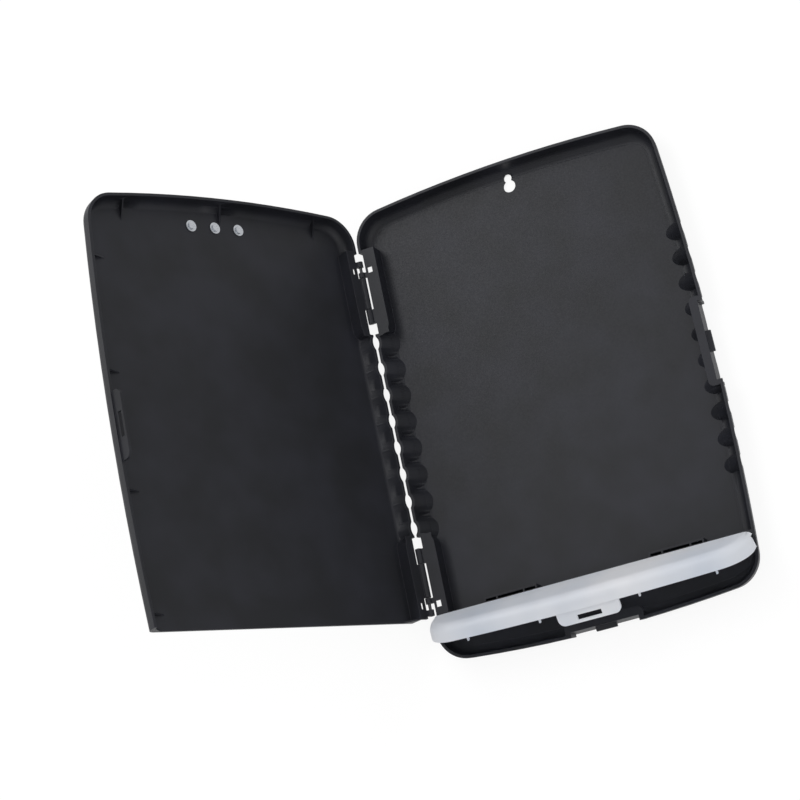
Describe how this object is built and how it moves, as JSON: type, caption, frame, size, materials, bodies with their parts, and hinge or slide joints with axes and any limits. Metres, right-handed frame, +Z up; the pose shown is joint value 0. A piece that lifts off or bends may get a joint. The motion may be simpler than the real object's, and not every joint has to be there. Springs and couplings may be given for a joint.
{
  "type": "storage clipboard box",
  "caption": "Hinged plastic storage clipboard: a tray with a cover that opens like a book, a pen compartment with its own clear door, and a low metal clip on the cover.",
  "frame": {"origin": "centre of the base tray's back face, which lies on the ground at Z 0", "axes": "+X from the hinged spine towards the latch side, +Y from the pen compartment towards the hanging hole, +Z up from the back face towards the closed cover"},
  "size_m": [0.3815, 0.3687, 0.246],
  "materials": {
    "charcoal_plastic": "satin",
    "frosted_plastic": "satin",
    "pin_plastic": "satin",
    "black_steel": "satin",
    "bright_steel": "satin",
    "grip_rubber": "matte"
  },
  "bodies": {
    "base": {"base_tray": "charcoal_plastic", "upper_cover_hinge_pin": "pin_plastic", "lower_cover_hinge_pin": "pin_plastic", "left_door_hinge_pin": "pin_plastic", "right_door_hinge_pin": "pin_plastic"},
    "cover": {"cover": "charcoal_plastic", "clip_base": "black_steel", "clip_pivot_rod": "bright_steel", "clip_rivets": "bright_steel", "rivet_washers": "bright_steel"},
    "clip_jaw": {"clip_jaw": "black_steel", "clip_grip_strip": "grip_rubber", "left_clip_spring": "bright_steel", "right_clip_spring": "bright_steel"},
    "pen_door": {"pen_door": "frosted_plastic"}
  },
  "joints": [
    {"name": "cover_hinge", "type": "hinge", "parent": "base", "child": "cover", "pos_m": [-0.12805, 0, 0.01635], "axis": [0, -1, 0], "range_deg": [-117.5, 57.5]},
    {"name": "door_hinge", "type": "hinge", "parent": "base", "child": "pen_door", "pos_m": [0, -0.1501, 0.0237], "axis": [-1, 0, 0], "range_deg": [-62, 18]},
    {"name": "clip_jaw_hinge", "type": "hinge", "parent": "cover", "child": "clip_jaw", "pos_m": [-0.20381, 0.1585, 0.12127], "axis": [0.4617, 0, -0.887], "range_deg": [0, 22], "stiffness_Nm_per_rad": 0.4, "springref_deg": -34.38}
  ]
}
